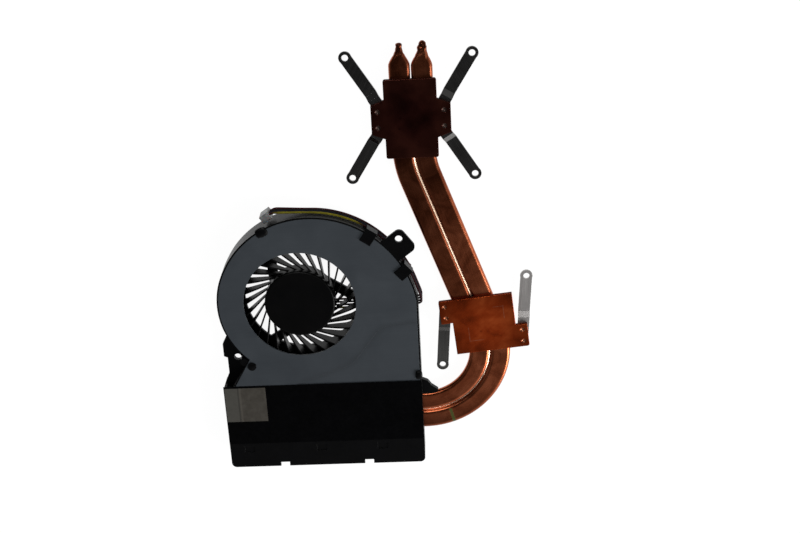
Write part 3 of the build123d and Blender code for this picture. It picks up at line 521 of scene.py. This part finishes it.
def piece(name, points, faces, finish, body="housing", smooth=True):
    """A new mesh piece from points in millimetres, riding on a body."""
    mesh = bpy.data.meshes.new(name)
    mesh.from_pydata([tuple(value * MM for value in point) for point in points], [], faces)
    mesh.validate()
    if smooth:
        mesh.shade_smooth()
    mesh.materials.append(finish)
    holder = add_object(name, mesh)
    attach(holder, body)
    return holder


def skin(rings, wide, start=0, lathe=False):
    """Faces over rings of points and over both ends; a lathe's rings run down from its top."""
    faces = []
    last = start + (rings - 1) * wide
    for first in range(start, last, wide):
        second = first + wide
        for index in range(wide):
            after = (index + 1) % wide
            if lathe:
                faces.append((first + index, second + index, second + after, first + after))
            else:
                faces.append((first + index, first + after, second + after, second + index))
    head, tail = tuple(range(start, start + wide)), tuple(range(last, last + wide))
    faces += [head, tail[::-1]] if lathe else [head[::-1], tail]
    return faces


def lathe_points(centre, profile, sides, wobble=0.0):
    """Rings of points about a vertical axis, from (radius, height) pairs; a wobble makes them uneven."""
    points = []
    for radius, height in profile:
        for index in range(sides):
            angle = 2 * pi * index / sides
            swell = 1 + wobble * noise.noise(Vector((cos(angle), sin(angle), height + centre[0])))
            x = centre[0] + radius * swell * cos(angle)
            y = centre[1] + radius * swell * sin(angle)
            points.append((x, y, centre[2] + height))
    return points


def turned(name, centre, profile, finish, sides, wobble=0.0):
    """A lathe-turned piece with flat ends; its profile runs down from the top."""
    points = lathe_points(centre, profile, sides, wobble)
    return piece(name, points, skin(len(profile), sides, lathe=True), finish)


# Heat pipes, swept along their runs and bends with a slightly uneven flat
PIPE_WIDE, PIPE_THICK, PIPE_Z = 7.8, 2.8, 2.9
PIPE_X, SHOULDER_Y, UPPER_Y, LEAN, DUCT_Y, END_X = 46.2, 88.95, 52.5, radians(19.67), -51.45, -29.0
DUCT_BEND, UPPER_BEND = 26.4, 34.0
RUN_STEP, TOP_STEP, BEND_STEP = 2.5, 1.5, radians(2.5)
SECTION = 44
DISH, UNEVEN, LUMP, LUMPY_FROM = 0.05, 0.02, 0.3, 5.0

# Each pipe's place beside the pair's middle, and its pinched end as rows of distance past the
# shoulder, width, thickness and shift to the side
PINCHES = {
    "heat_pipe_inner": (
        -4.05,
        ((0.5, 7.79, 2.8, 0.0), (1.3, 7.6, 2.78, 0.0), (2.1, 6.95, 2.74, 0.02), (2.9, 6.1, 2.7, 0.05),
         (3.7, 5.1, 2.62, 0.07), (4.5, 4.05, 2.5, 0.1), (5.3, 3.2, 2.36, 0.12), (6.1, 2.68, 2.24, 0.16),
         (6.8, 2.4, 2.14, 0.2), (7.3, 2.24, 2.06, 0.22), (7.7, 2.3, 2.1, 0.24), (8.05, 2.42, 2.15, 0.25),
         (8.35, 2.3, 2.05, 0.26), (8.6, 1.85, 1.7, 0.27), (8.8, 1.25, 1.15, 0.28), (8.92, 0.5, 0.4, 0.28)),
    ),
    "heat_pipe_outer": (
        4.05,
        ((0.5, 7.79, 2.8, 0.0), (1.3, 7.45, 2.78, 0.0), (2.1, 6.75, 2.75, 0.04), (2.9, 5.9, 2.72, 0.08),
         (3.7, 5.05, 2.64, 0.12), (4.5, 4.3, 2.54, 0.18), (5.3, 3.75, 2.44, 0.26), (6.0, 3.5, 2.4, 0.32),
         (6.6, 3.45, 2.42, 0.36), (7.1, 3.4, 2.4, 0.4), (7.5, 3.15, 2.32, 0.46), (7.9, 2.8, 2.28, 0.5),
         (8.3, 2.55, 2.24, 0.52), (8.75, 2.3, 2.1, 0.54), (9.1, 1.8, 1.65, 0.56), (9.32, 1.15, 1.1, 0.56),
         (9.45, 0.5, 0.4, 0.56)),
    ),
}


def pipe_stations(side):
    """Points and headings along a pipe, from its duct end to the shoulder."""
    across_top, across_run, across_duct = Vector((1, 0)), Vector((cos(LEAN), sin(LEAN))), Vector((0, -1))
    upper = Vector((PIPE_X, UPPER_Y))
    lower = upper + Vector((sin(LEAN), -cos(LEAN))) * ((UPPER_Y - DUCT_Y) / cos(LEAN))
    corners = [
        Vector((END_X, DUCT_Y - side)),
        lower + (across_run + across_duct) * (side / (1 + across_run.dot(across_duct))),
        upper + (across_top + across_run) * (side / (1 + across_top.dot(across_run))),
        Vector((PIPE_X + side, SHOULDER_Y)),
    ]
    stations, start = [], corners[0]
    for index, radius in enumerate((DUCT_BEND + side, UPPER_BEND - side)):
        before, corner, after = corners[index:index + 3]
        first, second = (corner - before).normalized(), (after - corner).normalized()
        turn = first.angle_signed(second)
        reach = radius * tan(abs(turn) / 2)
        bend_start = corner - first * reach
        steps = max(2, int((bend_start - start).length / RUN_STEP))
        stations += [(start.lerp(bend_start, step / steps), first) for step in range(steps)]
        normal = Vector((-first.y, first.x)) * (1 if turn < 0 else -1)
        centre = bend_start + normal * radius
        bends = max(8, int(abs(turn) / BEND_STEP))
        for bend in range(bends):
            spin = Matrix.Rotation(-turn * bend / bends, 2)
            stations.append((centre + spin @ (bend_start - centre), spin @ first))
        start = corner + second * reach
    steps = int((corners[-1] - start).length / TOP_STEP)
    stations += [(start.lerp(corners[-1], step / steps), second) for step in range(steps + 1)]
    return stations


def oval(wide, thick, index):
    """Point of a flattened tube's section and its distance along the rim."""
    flat, bow, radius = wide - thick, pi * thick / 2, thick / 2
    mark = (index / SECTION) * (2 * flat + 2 * bow) - flat / 2
    walk = mark
    if walk < flat / 2:
        return walk, radius, mark
    walk -= flat / 2
    if walk < bow:
        angle = pi / 2 - walk / radius
        return flat / 2 + radius * cos(angle), radius * sin(angle), mark
    walk -= bow
    if walk < flat:
        return flat / 2 - walk, -radius, mark
    angle = -pi / 2 - (walk - flat) / radius
    return -flat / 2 + radius * cos(angle), radius * sin(angle), mark


def heat_pipe(name):
    """A pipe in place of its node, with the lines of its drawing as UV coordinates."""
    side, pinch = PINCHES[name]
    rings = [(point, heading, PIPE_WIDE, PIPE_THICK, 0.0) for point, heading in pipe_stations(side)]
    for ahead, wide, thick, aside in pinch:
        place = Vector((PIPE_X + side + aside, SHOULDER_Y + ahead))
        rings.append((place, Vector((0, 1)), wide, thick, min(1.0, ahead / LUMPY_FROM)))
    points, uvs, length = [], [], 0.0
    for number, (point, heading, wide, thick, rough) in enumerate(rings):
        if number:
            length += (point - rings[number - 1][0]).length
        right = Vector((heading.y, -heading.x))
        for index in range(SECTION):
            across, up, mark = oval(wide, thick, index)
            spot = point + right * across
            wave = noise.noise(Vector((spot.x * 0.09, spot.y * 0.09, up * 0.4)))
            dish = DISH * max(0.0, 1 - (2 * across / wide) ** 2)
            lump = rough * rough * LUMP * noise.noise(Vector((spot.x * 0.95, spot.y * 1.3, up * 1.2)))
            up += (-dish if up > 0 else dish) + UNEVEN * wave * (1 - rough) + lump
            spot = spot + right * (lump * 0.8)
            points.append((spot.x, spot.y, PIPE_Z + up))
            uvs.append((mark, length))
    tube = piece(name + "_drawn", points, skin(len(rings), SECTION), finishes[name])
    layer = tube.data.uv_layers.new(name="grain")
    for loop in tube.data.loops:
        layer.data[loop.index].uv = uvs[loop.vertex_index]
    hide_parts(name)


for name in PINCHES:
    heat_pipe(name)

# Solder drawn into the valley between the two pipes, from the duct to the processor's plate, as
# points of its section where it is thin and where it is full
SEAM = ((-0.5, 3.78), (-0.3, 3.68), (0.0, 3.5), (0.24, 3.34), (0.36, 3.26), (0.3, 2.6), (-0.2, 2.6))
FULL_SEAM = ((-0.62, 3.92), (-0.4, 3.78), (-0.05, 3.57), (0.24, 3.38), (0.4, 3.28), (0.3, 2.6), (-0.2, 2.6))
SEAM_FROM_X, SEAM_TO_Y, SEAM_FULL_Y = 34, 62, 55
RIPPLE, RIPPLED = 0.05, range(1, 4)
solder = sheet("solder_seam", (0.74, 0.52, 0.37), (0.88, 0.67, 0.51), 0.25, 70, 0.002)
stations = [place for place in pipe_stations(0.0) if place[0].x > SEAM_FROM_X and place[0].y < SEAM_TO_Y]
points = []
for point, heading in stations:
    across = Vector((heading.y, -heading.x))
    share = min(1.0, max(0.0, point.y / SEAM_FULL_Y))
    for index, (thin, full) in enumerate(zip(SEAM, FULL_SEAM)):
        aside, height = Vector(thin).lerp(Vector(full), share)
        if index in RIPPLED:
            height += RIPPLE * noise.noise(Vector((point.x * 0.5, point.y * 0.5, index * 0.7)))
        spot = point + across * aside
        points.append((spot.x, spot.y, height))
piece("solder_seam", points, skin(len(stations), len(SEAM)), solder)

# Impeller: a hub with a rounded rim, hollow below, as a profile of radius and height
HUB_R, HUB_TOP, HUB_LOW, HUB_ROUND, HUB_SIDES = 13.5, 9.75, 2.6, 0.7, 72
HUB_IN, HUB_ROOF, AXIS_R = 11.92, 8.22, 0.02
hub = [(AXIS_R, HUB_TOP), (6.0, HUB_TOP), (12.4, HUB_TOP)]
for degrees in range(0, 91, 15):
    out, up = HUB_ROUND * sin(radians(degrees)), HUB_ROUND * cos(radians(degrees))
    hub.append((HUB_R - HUB_ROUND + out, HUB_TOP - HUB_ROUND + up))
hub += [(HUB_R, 8.6), (HUB_R, 3.0), (HUB_R, 2.75), (13.42, 2.62), (13.3, HUB_LOW), (12.1, HUB_LOW)]
hub += [(11.95, 2.7), (HUB_IN, 3.0), (HUB_IN, 8.0), (HUB_IN, HUB_ROOF), (AXIS_R, HUB_ROOF)]

# Its blades stand beside radial lines, deepen outwards and have broken top edges; each row is a
# radius and the blade's lower and upper height there
BLADES, BLADE_PHASE, BLADE_ASIDE, BLADE_HALF, BLADE_BREAK = 29, -0.3, -11.1, 0.3, 0.14
BLADE_EDGES = (
    (13.2, 6.1, 7.5), (14.5, 5.75, 7.95), (16.0, 5.4, 8.45), (17.5, 5.05, 8.85), (19.0, 4.75, 9.15),
    (20.4, 4.4, 9.3), (21.2, 3.7, 9.3), (22.4, 2.5, 9.3), (23.2, 2.4, 9.3), (25.5, 2.4, 9.3),
    (28.0, 2.4, 9.3),
)
points = lathe_points((0, 0, 0), hub, HUB_SIDES)
faces = skin(len(hub), HUB_SIDES, lathe=True)
hub_faces = len(faces)
for blade in range(BLADES):
    angle = radians(BLADE_PHASE + 360 * blade / BLADES)
    out, left = Vector((cos(angle), sin(angle))), Vector((-sin(angle), cos(angle)))
    start = len(points)
    for radius, low, high in BLADE_EDGES:
        spot = out * sqrt(radius * radius - BLADE_ASIDE ** 2)
        section = (
            (-BLADE_HALF, low), (BLADE_HALF, low),
            (BLADE_HALF, high - BLADE_BREAK), (BLADE_HALF - BLADE_BREAK, high),
            (BLADE_BREAK - BLADE_HALF, high), (-BLADE_HALF, high - BLADE_BREAK),
        )
        for aside, height in section:
            place = spot + left * (BLADE_ASIDE + aside)
            points.append((place.x, place.y, height))
    faces += skin(len(BLADE_EDGES), len(section), start)
rotor = piece("impeller_moulded", points, faces, rotor_plastic, "rotor", False)
for face in list(rotor.data.polygons)[:hub_faces]:
    face.use_smooth = True
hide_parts("impeller")

# Rivets: bowls pressed into the plates' tabs, two on each side of a plate
RIVET_Z, RIVET_SIDES, CPU_RIVET_X, CPU_RIVET_Y = 5.3, 36, 12.1, 3.0
GPU_RIVET_X, GPU_RIVET_Y, GPU_RIVET_HALF = 14.3, 6.85, 2.4
BOWL = (
    (0.02, 0.03), (0.25, 0.05), (0.5, 0.13), (0.7, 0.28), (0.82, 0.43), (0.88, 0.47), (0.89, 0.3),
    (0.89, 0.0),
)
cpu_rivet = sheet("cpu_rivet", (0.05, 0.034, 0.029), (0.07, 0.048, 0.041), 0.42, 0, 0.002, edge=0.05)
gpu_rivet = sheet("gpu_rivet", (0.28, 0.1, 0.05), (0.4, 0.16, 0.09), 0.28, 0, 0.002, edge=0.05)
gpu_spin = Matrix.Rotation(radians(GPU_TURN), 2)
rivets = []
for aside in (-CPU_RIVET_X, CPU_RIVET_X):
    for ahead in (-CPU_RIVET_Y, CPU_RIVET_Y):
        rivets.append((CPU_AT[0] + aside, CPU_AT[1] + ahead, cpu_rivet))
for sign in (-1, 1):
    for ahead in (-GPU_RIVET_HALF, GPU_RIVET_HALF):
        spot = Vector(GPU_AT) + gpu_spin @ Vector((sign * GPU_RIVET_X, -sign * GPU_RIVET_Y + ahead))
        rivets.append((spot.x, spot.y, gpu_rivet))
for number, (x, y, finish) in enumerate(rivets):
    turned(f"rivet_{number + 1}", (x, y, RIVET_Z), BOWL, finish, RIVET_SIDES)

# Melted head of the post beside the outlet
STAKE_AT, STAKE_SIDES, STAKE_WOBBLE = (-20.7, -25.7, 10.5), 32, 0.1
DOME = ((0.05, 0.52), (0.6, 0.5), (1.1, 0.44), (1.5, 0.32), (1.72, 0.16), (1.74, 0.02), (1.6, 0.0))
turned("stake_head", STAKE_AT, DOME, black_plastic, STAKE_SIDES, STAKE_WOBBLE)

# Melted heads over the rim's two tabs: place, turn and half sizes of each
MELTED = {
    "melted_tab_1": ((-11.95, 30.35), 22.0, (2.4, 1.9)),
    "melted_tab_2": ((44.2, -31.8), 0.0, (1.4, 1.85)),
}
MELTED_RISE = (
    (0.02, 11.28), (0.35, 11.26), (0.62, 11.2), (0.84, 11.06), (0.96, 10.86), (1.0, 10.62), (0.98, 10.4),
)
MELTED_SIDES, SQUARENESS, MELTED_WOBBLE = 36, 3, 0.06
for name, ((x, y), turn, (long, wide)) in MELTED.items():
    spin = Matrix.Rotation(radians(turn), 2)
    points = []
    for share, height in MELTED_RISE:
        for index in range(MELTED_SIDES):
            angle = 2 * pi * index / MELTED_SIDES
            c, s = cos(angle), sin(angle)
            square = (abs(c) ** SQUARENESS + abs(s) ** SQUARENESS) ** (-1 / SQUARENESS)
            bulge = square * (1 + MELTED_WOBBLE * noise.noise(Vector((c * 1.5, s * 1.5, x))))
            spot = Vector((x, y)) + spin @ Vector((long * share * bulge * c, wide * share * bulge * s))
            points.append((spot.x, spot.y, height))
    faces = skin(len(MELTED_RISE), MELTED_SIDES, lathe=True)
    piece(name, points, faces, black_plastic)

# Floor just under the part
FLOOR_REACH, FLOOR_GAP = 6.0, 0.0002
floor_mesh = bpy.data.meshes.new("floor")
floor_corners = [(x * FLOOR_REACH, y * FLOOR_REACH, 0) for x, y in ((-1, -1), (1, -1), (1, 1), (-1, 1))]
floor_mesh.from_pydata(floor_corners, [], [(0, 1, 2, 3)])
floor = add_object("floor", floor_mesh)
floor.location.z = cad_box[0][2] - FLOOR_GAP


def join(tree, *links):
    for source, target in links:
        tree.links.new(source, target)


# Paper on the floor: it glows where it is seen or mirrored, and is plain where it gives light back
PAPER, SEEN_PAPER, PAPER_GLOW = (0.8, 0.8, 0.8, 1), (0.16, 0.16, 0.16, 1), 0.92
paper = bpy.data.materials.new("paper")
paper.use_nodes = True
tree = paper.node_tree
tree.nodes.clear()
add = tree.nodes.new
rays, first, seen = add("ShaderNodeLightPath"), add("ShaderNodeMath"), add("ShaderNodeMath")
first.operation = seen.operation = "MAXIMUM"
diffuse, faint, glow = add("ShaderNodeBsdfDiffuse"), add("ShaderNodeBsdfDiffuse"), add("ShaderNodeEmission")
both, choose = add("ShaderNodeAddShader"), add("ShaderNodeMixShader")
output = add("ShaderNodeOutputMaterial")
diffuse.inputs["Color"].default_value = PAPER
faint.inputs["Color"].default_value = SEEN_PAPER
glow.inputs["Strength"].default_value = PAPER_GLOW
join(
    tree,
    (rays.outputs["Is Camera Ray"], first.inputs[0]),
    (rays.outputs["Is Glossy Ray"], first.inputs[1]),
    (first.outputs[0], seen.inputs[0]),
    (rays.outputs["Is Transmission Ray"], seen.inputs[1]),
    (faint.outputs[0], both.inputs[0]),
    (glow.outputs[0], both.inputs[1]),
    (seen.outputs[0], choose.inputs[0]),
    (diffuse.outputs[0], choose.inputs[1]),
    (both.outputs[0], choose.inputs[2]),
    (choose.outputs[0], output.inputs["Surface"]),
)
floor_mesh.materials.append(paper)

# World: a dark ceiling over a bright low band, brightest towards -Y and +X; each axis has stops of
# a direction's share of it and the light's strength there, and the three are multiplied
SKY = {
    "X": ((-1.0, 0.22), (-0.38, 0.24), (-0.14, 0.75), (0.02, 1.0)),
    "Y": ((-0.1, 1.0), (0.1, 0.62), (0.28, 0.24), (1.0, 0.2)),
    "Z": (
        (0.0, 1.0), (0.5, 1.0), (0.64, 0.8), (0.77, 0.5), (0.866, 0.25), (0.9, 0.13), (0.945, 0.05),
        (1.0, 0.035),
    ),
}
world = bpy.data.worlds.new("studio")
bpy.context.scene.world = world
world.use_nodes = True
tree = world.node_tree
tree.nodes.clear()
add = tree.nodes.new
where, split = add("ShaderNodeTexCoord"), add("ShaderNodeSeparateXYZ")
join(tree, (where.outputs["Generated"], split.inputs[0]))
level = None
for axis, stops in SKY.items():
    halved, curve = add("ShaderNodeMath"), add("ShaderNodeValToRGB")
    halved.operation = "MULTIPLY_ADD"
    halved.inputs[1].default_value = halved.inputs[2].default_value = 0.5
    set_stops(curve.color_ramp, [(0.5 + share / 2, (strength,) * 3) for share, strength in stops])
    join(tree, (split.outputs[axis], halved.inputs[0]), (halved.outputs[0], curve.inputs["Fac"]))
    if level is None:
        level = curve.outputs["Color"]
        continue
    product = add("ShaderNodeMix")
    product.data_type = "RGBA"
    product.blend_type = "MULTIPLY"
    product.inputs["Factor"].default_value = 1.0
    join(tree, (level, product.inputs[6]), (curve.outputs["Color"], product.inputs[7]))
    level = product.outputs[2]
sky, white = add("ShaderNodeBackground"), add("ShaderNodeBackground")
rays, choose, output = add("ShaderNodeLightPath"), add("ShaderNodeMixShader"), add("ShaderNodeOutputWorld")
white.inputs["Color"].default_value = (1, 1, 1, 1)
join(
    tree,
    (level, sky.inputs["Color"]),
    (rays.outputs["Is Camera Ray"], choose.inputs[0]),
    (sky.outputs[0], choose.inputs[1]),
    (white.outputs[0], choose.inputs[2]),
    (choose.outputs[0], output.inputs["Surface"]),
)

# Lamps, both aimed near the part's middle
LAMP_AIM = Vector((0.04, 0.01, 0))


def lamp(name, place, size, watts):
    """A round area lamp that faces the part."""
    light = bpy.data.lights.new(name, "AREA")
    light.shape = "DISK"
    light.size = size
    light.energy = watts
    holder = add_object(name, light)
    holder.location = place
    holder.rotation_euler = (LAMP_AIM - Vector(place)).to_track_quat("-Z", "Y").to_euler()


lamp("key", (0.87, -0.48, 0.52), size=0.6, watts=9)
lamp("fill", (-0.1, 0.66, 1.1), size=0.7, watts=6.5)

# Camera at the photograph's place
CAMERA_AT = Vector((57.1129, 209.4142, 458.0809)) * MM
CAMERA_LOOK = Vector((-0.036989, -0.399098, -0.916162)).normalized()
CAMERA_RIGHT = Vector((0.998639, -0.048501, -0.019191)).normalized()
camera_data = bpy.data.cameras.new("camera")
camera_data.lens = 58.5
camera_data.sensor_width = 36.0
camera_data.sensor_fit = "HORIZONTAL"
camera = add_object("camera", camera_data)
camera_up = CAMERA_RIGHT.cross(CAMERA_LOOK)
facing = Matrix((CAMERA_RIGHT, camera_up, -CAMERA_LOOK)).transposed().to_4x4()
camera.matrix_world = Matrix.Translation(CAMERA_AT) @ facing
bpy.context.scene.camera = camera
bpy.context.scene.view_settings.view_transform = "Standard"
